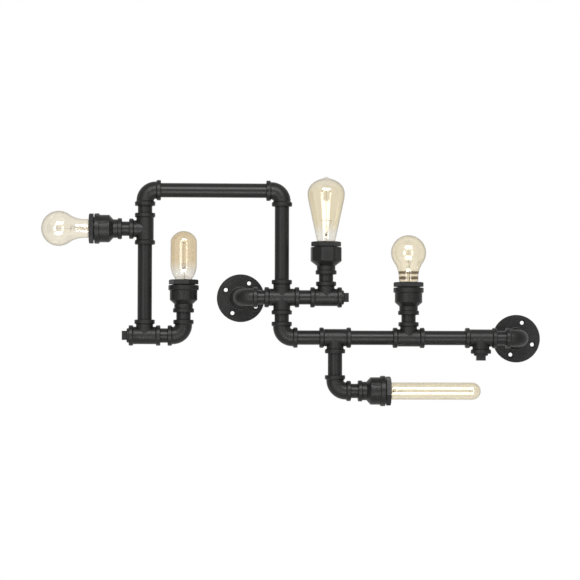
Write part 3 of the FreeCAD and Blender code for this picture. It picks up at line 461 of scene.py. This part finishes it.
def moulded(name, colour, roughness):
    """Moulding, sheathing or pressed glass with a fine grain and a faint cloud of tone."""
    nodes = material_nodes(name)
    grain = nodes.noise(size=0.8 * MM, detail=2.0)
    cloud = nodes.noise(size=12 * MM, detail=2.0)
    return principled(nodes, {
        "Base Color": mottled(nodes, cloud, colour, dark=0.9, light=1.1),
        "Roughness": varied(roughness, cloud, spread=0.12),
        "Normal": nodes.bump(grain, depth=0.03 * MM, strength=0.5),
    })


def dress_node(name, material):
    """Puts a material on a CAD node through its slots."""
    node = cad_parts[name]
    if not node.material_slots:
        node.data.materials.append(material)
    for place in node.material_slots:
        place.material = material


# ---------------------------------------------------------------- mesh building

SHARP_ANGLE = math.radians(35)
WIRE_SIDES = 8


def new_piece(name, mesh):
    """An object at the origin for a finished mesh, smooth but for its sharp edges."""
    mesh.shade_smooth()
    mesh.set_sharp_from_angle(angle=SHARP_ANGLE)
    piece = bpy.data.objects.new(name, mesh)
    bpy.context.scene.collection.objects.link(piece)
    return piece


def lathe(rings, around, wave=None):
    """A closed skin from (radius, height) rings; wave(angle, height) says how far a point dips."""
    mesh = bmesh.new()
    rows = []
    for radius, height in rings:
        if radius <= 0:
            rows.append([mesh.verts.new((0, 0, height))])
            continue
        row = []
        for step in range(around):
            angle = 2 * math.pi * step / around
            size = radius - (wave(angle, height) if wave else 0.0)
            row.append(mesh.verts.new((size * math.cos(angle), size * math.sin(angle), height)))
        rows.append(row)
    for lower, upper in zip(rows, rows[1:]):
        for step in range(around):
            after = (step + 1) % around
            corners = [lower[step % len(lower)], lower[after % len(lower)],
                       upper[after % len(upper)], upper[step % len(upper)]]
            unique = list(dict.fromkeys(corners))
            if len(unique) > 2:
                mesh.faces.new(unique)
    bmesh.ops.recalc_face_normals(mesh, faces=mesh.faces)
    made = bpy.data.meshes.new("lathe")
    mesh.to_mesh(made)
    mesh.free()
    return made


def geometry_tree(name, inputs):
    """An empty Geometry Nodes tree with these named inputs, and its two end nodes."""
    tree = bpy.data.node_groups.new(name, "GeometryNodeTree")
    face = tree.interface
    face.new_socket("Geometry", in_out="INPUT", socket_type="NodeSocketGeometry")
    for label, kind in inputs.items():
        face.new_socket(label, in_out="INPUT", socket_type="NodeSocket" + kind)
    face.new_socket("Geometry", in_out="OUTPUT", socket_type="NodeSocketGeometry")
    return tree, tree.nodes.new("NodeGroupInput"), tree.nodes.new("NodeGroupOutput")


def skin_and_end(tree, start, end, line):
    """Gives a line a round section of the tree's Thickness, and ends the tree."""
    ring = tree.nodes.new("GeometryNodeCurvePrimitiveCircle")
    skin = tree.nodes.new("GeometryNodeCurveToMesh")
    real = tree.nodes.new("GeometryNodeRealizeInstances")
    paint = tree.nodes.new("GeometryNodeSetMaterial")
    ring.inputs["Resolution"].default_value = WIRE_SIDES
    skin.inputs["Fill Caps"].default_value = True
    for source, target in (
        (line, skin.inputs["Curve"]),
        (start.outputs["Thickness"], ring.inputs["Radius"]),
        (ring.outputs["Curve"], skin.inputs["Profile Curve"]),
        (skin.outputs["Mesh"], real.inputs["Geometry"]),
        (real.outputs["Geometry"], paint.inputs["Geometry"]),
        (start.outputs["Material"], paint.inputs["Material"]),
        (paint.outputs["Geometry"], end.inputs["Geometry"]),
    ):
        tree.links.new(source, target)
    return tree


def wire_tree():
    """Turns the lines of a curve into round wires."""
    inputs = {"Thickness": "Float", "Material": "Material"}
    tree, start, end = geometry_tree("round_wires", inputs)
    return skin_and_end(tree, start, end, start.outputs["Geometry"])


def thread_tree():
    """Winds one ridge along a screw line."""
    tree, start, end = geometry_tree("screw_ridge", {
        "Radius": "Float", "Rise": "Float", "Turns": "Float", "Steps": "Int",
        "Thickness": "Float", "Material": "Material"})
    screw = tree.nodes.new("GeometryNodeCurveSpiral")
    for source, target in (("Radius", "Start Radius"), ("Radius", "End Radius"),
                           ("Rise", "Height"), ("Turns", "Rotations"), ("Steps", "Resolution")):
        tree.links.new(start.outputs[source], screw.inputs[target])
    return skin_and_end(tree, start, end, screw.outputs["Curve"])


def evaluated_mesh(name, data, tree, values):
    """The plain mesh that a Geometry Nodes tree makes of the data; its carrier is removed."""
    carrier = bpy.data.objects.new(name, data)
    bpy.context.scene.collection.objects.link(carrier)
    modifier = carrier.modifiers.new("Maker", "NODES")
    modifier.node_group = tree
    for item in tree.interface.items_tree:
        if item.in_out == "INPUT" and item.name in values:
            modifier[item.identifier] = values[item.name]
    carrier.update_tag()
    graph = bpy.context.evaluated_depsgraph_get()
    mesh = bpy.data.meshes.new_from_object(carrier.evaluated_get(graph), depsgraph=graph)
    carrier.modifiers.clear()
    bpy.data.objects.remove(carrier)
    if not mesh.polygons:
        raise RuntimeError(f"{name} came out empty")
    return mesh


def wires(name, lines, tree, thickness, material):
    """Round wires along straight runs, one for each list of points."""
    curve = bpy.data.curves.new(name, "CURVE")
    curve.dimensions = "3D"
    for points in lines:
        spline = curve.splines.new("POLY")
        spline.points.add(len(points) - 1)
        for place, point in zip(spline.points, points):
            place.co = (*point, 1.0)
    values = {"Thickness": thickness, "Material": material}
    return evaluated_mesh(name, curve, tree, values)


def joined(name, meshes):
    """One mesh of several, with each material in one slot."""
    whole = bmesh.new()
    materials = []
    for mesh in meshes:
        for material in mesh.materials:
            if material not in materials:
                materials.append(material)
        part = bmesh.new()
        part.from_mesh(mesh)
        bmesh.ops.recalc_face_normals(part, faces=part.faces)
        for face in part.faces:
            face.material_index = materials.index(mesh.materials[face.material_index])
        holder = bpy.data.meshes.new("holder")
        part.to_mesh(holder)
        part.free()
        whole.from_mesh(holder)
        bpy.data.meshes.remove(holder)
    made = bpy.data.meshes.new(name)
    whole.to_mesh(made)
    whole.free()
    for material in materials:
        made.materials.append(material)
    return made


# ---------------------------------------------------------------- filament layouts

# In millimetres, over the cap's rim: the lower and the upper ring of hooks, then the cage's
# radius, and how many strands hang between the rings.
CAGES = {
    "pear": (33.0, 57.0, 7.0, 6),
    "globe": (37.0, 62.0, 5.0, 6),
    "dome": (30.0, 66.0, 6.0, 6),
    "drop": (39.0, 90.0, 9.5, 8),
    "tube": (20.0, 140.0, 3.4, 4),
}
# How far the dark press sits over the cap's rim, in millimetres, and its size against the
# setting.
PRESSES = {
    "pear": (24.0, 0.8), "globe": (30.0, 0.35), "dome": (16.0, 1.0), "drop": (14.0, 1.0),
    "tube": (8.0, 1.0),
}
# How far under the lower ring its hooks spring from the post, in millimetres, where they fan.
HOOK_FANS = {"dome": 10.0}
# How far the hooks reach past the cage, in millimetres.
HOOK_REACH = 0.4
# How far the two leads stand off the axis, and where they start, in millimetres.
LEAD_SPREAD = 1.6
LEAD_START = 0.5

# The beads: the size of the two on the post level with the rings, against the setting; the
# height of any bead against its width; and its faces along and round it.
RING_BEAD = 0.4
BEAD_STRETCH = 1.2
BEAD_ROWS = 8
BEAD_STEPS = 20


def on_ring(radius, angle, height):
    """A point round the lamp's axis, from millimetres."""
    return Vector((radius * math.cos(angle), radius * math.sin(angle), height)) * MM


def cage_lines(form):
    """The filament's line, its hooks, its two leads and its post, about the lamp's axis."""
    low, high, radius, strands = CAGES[form]
    press = PRESSES[form][0]
    angles = [2 * math.pi * k / strands for k in range(strands)]
    thread = []
    for index, angle in enumerate(angles):
        ends = (low, high) if index % 2 == 0 else (high, low)
        thread += [on_ring(radius, angle, height) for height in ends]
    hooks = []
    for angle in angles:
        for root, height in ((low - HOOK_FANS.get(form, 0.0), low), (high, high)):
            tip = on_ring(radius + HOOK_REACH, angle, height)
            hooks.append([on_ring(0.0, angle, root), tip])
    leads = []
    for angle, hung in ((angles[0], thread[0]), (angles[-1], thread[-1])):
        start = on_ring(LEAD_SPREAD, angle, LEAD_START)
        leads.append([start, on_ring(LEAD_SPREAD, angle, press), hung])
    post = [on_ring(0.0, 0.0, press), on_ring(0.0, 0.0, high)]
    return thread, hooks, leads, post


def bead(radius, height):
    """A glass bead on the post, as a lathed profile."""
    rings = []
    for row in range(BEAD_ROWS + 1):
        angle = -math.pi / 2 + math.pi * row / BEAD_ROWS
        size = 0.0 if row in (0, BEAD_ROWS) else radius * math.cos(angle)
        rings.append((size, height + radius * BEAD_STRETCH * math.sin(angle)))
    return lathe(rings, BEAD_STEPS)


# ---------------------------------------------------------------- caps and bushings

# The bulb's cap, down from its rim: the threaded skirt, the taper under it, the sheet's
# thickness, the foot's radius outside and inside, the insulator's radius, and the skirt's rows.
CAP_SKIRT = 20.5 * MM
CAP_TAPER = 2.6 * MM
CAP_SHEET = 0.5 * MM
CAP_FOOT = 9.6 * MM
CAP_FOOT_INSIDE = 9.1 * MM
CAP_INSULATOR = 5.6 * MM
CAP_ROWS = 84

# Where the thread shows between a cup and its bushing: the gap's foot against the cap's rim, its
# height, and the thread's radius.
GAP_FOOT = -7.6 * MM
GAP_HEIGHT = 1.4 * MM
GAP_RADIUS = 19.7 * MM


def rolled_thread(pitch, depth):
    """A wave for lathe: how far the rolled thread dips, fading at both ends of the skirt."""
    def wave(angle, height):
        turns_inside = min(-height, height + CAP_SKIRT) / pitch
        fade = max(0.0, min(1.0, turns_inside))
        turn = 2 * math.pi * height / pitch - angle
        return depth * fade * (0.5 - 0.5 * math.cos(turn))
    return wave


def cap_rings(radius, length):
    """The rings of a cap's sheet and of the insulator under it, with the rim at height 0."""
    foot = -CAP_SKIRT - CAP_TAPER
    outside = [(radius, -CAP_SKIRT + CAP_SKIRT * row / CAP_ROWS) for row in range(CAP_ROWS + 1)]
    inside = [(size - CAP_SHEET, height) for size, height in reversed(outside)]
    below = [(0, foot), (CAP_FOOT, foot)]
    floor = [(CAP_FOOT_INSIDE, foot + CAP_SHEET), (0, foot + CAP_SHEET)]
    insulator = [(0, -length), (CAP_INSULATOR, -length), (CAP_INSULATOR, foot), (0, foot)]
    return below + outside + inside + floor, insulator


# ---------------------------------------------------------------- operators

CASTINGS = (
    "left_wall_elbow", "right_wall_elbow", "top_right_elbow", "top_left_elbow", "corner_elbow",
    "lower_elbow", "drop_elbow", "cross", "left_tee", "corner_tee", "middle_tee", "drop_tee",
    "lamp_tee", "end_tee", "square_plugs", "left_flange", "right_flange", "hex_bushings",
    "lamp_cup_1", "lamp_cup_2", "lamp_cup_3", "lamp_cup_4", "lamp_cup_5",
)
PIPES = (
    "riser_pipe", "top_pipe", "left_pipe", "arm_nipple", "lower_pipe_1", "lower_pipe_2",
    "lower_pipe_3", "exit_nipple", "drop_pipe", "close_nipples", "wall_nipples",
)
# What lies inside: how each finish is made, its name, colour and roughness, and its nodes.
INNER_FINISHES = (
    (moulded, "black_moulding", (0.03, 0.026, 0.022), 0.35, ("lampholder_bodies",)),
    (metal, "brass_sheet", (0.72, 0.55, 0.26), 0.24,
     ("lampholder_shells", "lampholder_contacts")),
    (moulded, "lead_sheath", (0.05, 0.05, 0.055), 0.55, ("internal_leads",)),
    (moulded, "ivory_moulding", (0.72, 0.68, 0.56), 0.42, ("terminal_block",)),
    (metal, "zinc_plate", (0.62, 0.62, 0.60), 0.32, ("terminal_screws",)),
)


class LIGHT_OT_coat_iron(bpy.types.Operator):
    """Coats the castings and pipes"""
    bl_idname = "pipe_light.coat_iron"
    bl_label = "Coat the iron"

    def execute(self, context):
        settings = context.scene.pipe_light_coating
        casting = coated_casting(settings)
        pipe = coated_pipe(settings)
        for name in CASTINGS:
            dress_node(name, casting)
        for name in PIPES:
            dress_node(name, pipe)
        return {"FINISHED"}


class LIGHT_OT_fit_lampholders(bpy.types.Operator):
    """Finishes the lampholders, the leads and the terminal block"""
    bl_idname = "pipe_light.fit_lampholders"
    bl_label = "Finish the lampholders and wiring"

    def execute(self, context):
        for make, finish, colour, roughness, names in INNER_FINISHES:
            material = make(finish, colour, roughness)
            for name in names:
                dress_node(name, material)
        return {"FINISHED"}


class LIGHT_OT_blow_glass(bpy.types.Operator):
    """Tints the five bulbs"""
    bl_idname = "pipe_light.blow_glass"
    bl_label = "Tint the bulbs"

    def execute(self, context):
        settings = context.scene.pipe_light_glass
        for number in BULB_NUMBERS:
            dress_node(f"bulb_glass_{number}", blown_glass(number, settings))
        return {"FINISHED"}


class LIGHT_OT_roll_caps(bpy.types.Operator):
    """Makes the screw caps with their rolled threads"""
    bl_idname = "pipe_light.roll_caps"
    bl_label = "Roll the bulbs' caps"

    def execute(self, context):
        settings = context.scene.pipe_light_threads
        sheet = metal("cap_sheet", (0.80, 0.70, 0.46), 0.22)
        solder = metal("solder", (0.50, 0.50, 0.50), 0.46)
        black = moulded("cap_insulator", (0.02, 0.02, 0.022), 0.2)
        # All five caps are alike, and the second stands upright.
        low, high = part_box("bulb_cap_2")
        shell_rings, insulator_rings = cap_rings((high.x - low.x) / 2, high.z - low.z)
        wave = rolled_thread(settings.cap_pitch, settings.cap_depth)
        for number in BULB_NUMBERS:
            shell = lathe(shell_rings, settings.around, wave)
            shell.materials.append(sheet)
            insulator = lathe(insulator_rings, settings.around)
            insulator.materials.append(black)
            mesh = joined(f"rolled_cap_{number}", [shell, insulator])
            mesh.transform(lamp_matrix(number))
            piece = new_piece(f"rolled_cap_{number}", mesh)
            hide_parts(f"bulb_cap_{number}")
            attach(piece, bulb_body(number))
            dress_node(f"bulb_tip_{number}", solder)
        return {"FINISHED"}


class LIGHT_OT_wind_filaments(bpy.types.Operator):
    """Hangs the filaments on their hooks and leads"""
    bl_idname = "pipe_light.wind_filaments"
    bl_label = "Wind the filaments"

    def execute(self, context):
        settings = context.scene.pipe_light_filaments
        filament = metal("drawn_tungsten", (0.62, 0.47, 0.24), 0.45)
        support = metal("support_wire", (0.13, 0.11, 0.08), 0.35)
        pressed = moulded("bead_glass", (0.10, 0.08, 0.06), 0.15)
        tree = wire_tree()
        for number in BULB_NUMBERS:
            form = LAMP_FORMS[number]
            low, high = CAGES[form][:2]
            press, share = PRESSES[form]
            thread, hooks, leads, post = cage_lines(form)
            wound = wires("strands", [thread], tree, settings.wire, filament)
            held = wires("holders", hooks + leads + [post], tree, settings.support, support)
            beads = []
            for size, height in ((share, press), (RING_BEAD, low), (RING_BEAD, high)):
                lump = bead(settings.bead * size, height * MM)
                lump.materials.append(pressed)
                beads.append(lump)
            mesh = joined(f"filament_{number}", [wound, held] + beads)
            mesh.transform(lamp_matrix(number))
            piece = new_piece(f"filament_{number}", mesh)
            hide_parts(f"bulb_filament_{number}")
            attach(piece, bulb_body(number))
        return {"FINISHED"}


class LIGHT_OT_cut_threads(bpy.types.Operator):
    """Cuts the thread that shows between each cup and its bushing"""
    bl_idname = "pipe_light.cut_threads"
    bl_label = "Cut the bushings' threads"

    def execute(self, context):
        settings = context.scene.pipe_light_threads
        coating = bpy.data.materials["coated_casting"]
        values = {
            "Radius": GAP_RADIUS, "Rise": GAP_HEIGHT,
            "Turns": GAP_HEIGHT / settings.bushing_pitch, "Steps": settings.around,
            "Thickness": settings.bushing_ridge, "Material": coating,
        }
        tree = thread_tree()
        ridges = []
        for number in BULB_NUMBERS:
            blank = bpy.data.meshes.new("ridge")
            ridge = evaluated_mesh(f"ridge_{number}", blank, tree, values)
            ridge.transform(lamp_matrix(number) @ Matrix.Translation((0, 0, GAP_FOOT)))
            ridges.append(ridge)
        piece = new_piece("bushing_threads", joined("bushing_threads", ridges))
        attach(piece, FIXED_BODY)
        return {"FINISHED"}


# Each lamp's name, its place and size in metres, the setting of its power, and its share of it.
STUDIO_LAMPS = (
    ("key", (0.10, -1.9, 1.35), (1.8, 0.7), "key_power", 1.0),
    ("fill", (0.05, -1.9, -1.0), (1.6, 0.5), "fill_power", 1.0),
    ("front_left", (-1.25, -2.45, -0.15), (0.85, 1.5), "front_power", 1.0),
    ("front_right", (1.15, -2.45, -0.25), (0.30, 1.4), "front_power", 0.4),
)
# The floor: how far it lies under the light, its half width and half depth, and its two tones.
FLOOR_DROP = 0.45
FLOOR_HALF_WIDTH = 1.5
FLOOR_HALF_DEPTH = 1.0
FLOOR_TONES = ((0.84, 0.84, 0.83, 1.0), (0.87, 0.87, 0.86, 1.0))


class LIGHT_OT_set_stage(bpy.types.Operator):
    """Sets the floor, the lamps, the surround and the camera"""
    bl_idname = "pipe_light.set_stage"
    bl_label = "Set the stage"

    def execute(self, context):
        settings = context.scene.pipe_light_stage
        self.make_floor()
        self.make_surround(context.scene, settings.sky)
        for name, place, size, power, share in STUDIO_LAMPS:
            self.make_lamp(name, place, size, getattr(settings, power) * share)
        self.make_camera(context.scene, settings)
        context.scene.view_settings.view_transform = "Standard"
        return {"FINISHED"}

    def make_floor(self):
        low, high = CAD_BOX
        middle = (low + high) / 2
        height = low.z - FLOOR_DROP
        corners = [(middle.x + across * FLOOR_HALF_WIDTH, middle.y + along * FLOOR_HALF_DEPTH,
                    height) for across, along in ((-1, -1), (1, -1), (1, 1), (-1, 1))]
        mesh = bpy.data.meshes.new("floor")
        mesh.from_pydata(corners, [], [(0, 1, 2, 3)])
        nodes = material_nodes("pale_floor")
        cloud = nodes.noise(size=0.3, detail=2.0)
        mesh.materials.append(principled(nodes, {
            "Base Color": nodes.colours(cloud, *FLOOR_TONES),
            "Roughness": 0.7 + cloud * 0.1,
        }))
        floor = bpy.data.objects.new("floor", mesh)
        bpy.context.scene.collection.objects.link(floor)

    def make_surround(self, scene, strength):
        """Even soft light, which a look, a mirror and glass see as plain white."""
        scene.world = bpy.data.worlds.new("surround")
        nodes = Nodes(scene.world, "ShaderNodeOutputWorld")
        rays = nodes.add("ShaderNodeLightPath")
        seen = rays["Is Camera Ray"] + rays["Is Glossy Ray"] + rays["Is Transmission Ray"]
        even, white = (
            nodes.add("ShaderNodeBackground", {}, {"Color": (1, 1, 1, 1), "Strength": level})[0]
            for level in (strength, 1.0))
        nodes.shown(nodes.shaders(seen.clamped(), even, white))

    def make_lamp(self, name, place, size, power):
        light = bpy.data.lights.new(name, "AREA")
        light.shape = "RECTANGLE"
        light.size, light.size_y = size
        light.energy = power
        lamp = bpy.data.objects.new(name, light)
        lamp.visible_camera = False
        bpy.context.scene.collection.objects.link(lamp)
        lamp.location = place
        aim = (CAD_BOX[0] + CAD_BOX[1]) / 2
        lamp.rotation_euler = (aim - Vector(place)).to_track_quat("-Z", "Y").to_euler()

    def make_camera(self, scene, settings):
        camera = bpy.data.objects.new("camera", bpy.data.cameras.new("camera"))
        scene.collection.objects.link(camera)
        level = math.cos(settings.elevation)
        back = Vector((math.sin(settings.azimuth) * level, -math.cos(settings.azimuth) * level,
                       math.sin(settings.elevation)))
        turn = (-back).to_track_quat("-Z", "Y").to_matrix().to_4x4()
        roll = Matrix.Rotation(settings.roll, 4, "Z")
        place = Matrix.Translation(Vector(settings.aim) + back * settings.distance)
        camera.matrix_world = place @ turn @ roll
        camera.data.sensor_width = 36.0
        camera.data.lens = settings.lens
        camera.data.clip_end = 100.0
        scene.camera = camera


class LIGHT_PT_panel(bpy.types.Panel):
    """Lists the steps that dress the light"""
    bl_label = "Pipe wall light"
    bl_idname = "LIGHT_PT_panel"
    bl_space_type = "VIEW_3D"
    bl_region_type = "UI"
    bl_category = "Pipe light"

    def draw(self, context):
        for step in STEPS:
            self.layout.operator(step.bl_idname)


STEPS = (LIGHT_OT_coat_iron, LIGHT_OT_fit_lampholders, LIGHT_OT_blow_glass, LIGHT_OT_roll_caps,
         LIGHT_OT_wind_filaments, LIGHT_OT_cut_threads, LIGHT_OT_set_stage)
SETTINGS = {
    "pipe_light_coating": CoatingSettings,
    "pipe_light_glass": GlassSettings,
    "pipe_light_filaments": FilamentSettings,
    "pipe_light_threads": ThreadSettings,
    "pipe_light_stage": StageSettings,
}


def register():
    for name, group in SETTINGS.items():
        bpy.utils.register_class(group)
        setattr(bpy.types.Scene, name, PointerProperty(type=group))
    for step in STEPS:
        bpy.utils.register_class(step)
    bpy.utils.register_class(LIGHT_PT_panel)


def unregister():
    bpy.utils.unregister_class(LIGHT_PT_panel)
    for step in reversed(STEPS):
        bpy.utils.unregister_class(step)
    for name, group in SETTINGS.items():
        delattr(bpy.types.Scene, name)
        bpy.utils.unregister_class(group)


def main():
    register()
    bpy.ops.pipe_light.coat_iron()
    bpy.ops.pipe_light.fit_lampholders()
    bpy.ops.pipe_light.blow_glass()
    bpy.ops.pipe_light.roll_caps()
    bpy.ops.pipe_light.wind_filaments()
    bpy.ops.pipe_light.cut_threads()
    bpy.ops.pipe_light.set_stage()


if __name__ == "__main__":
    main()
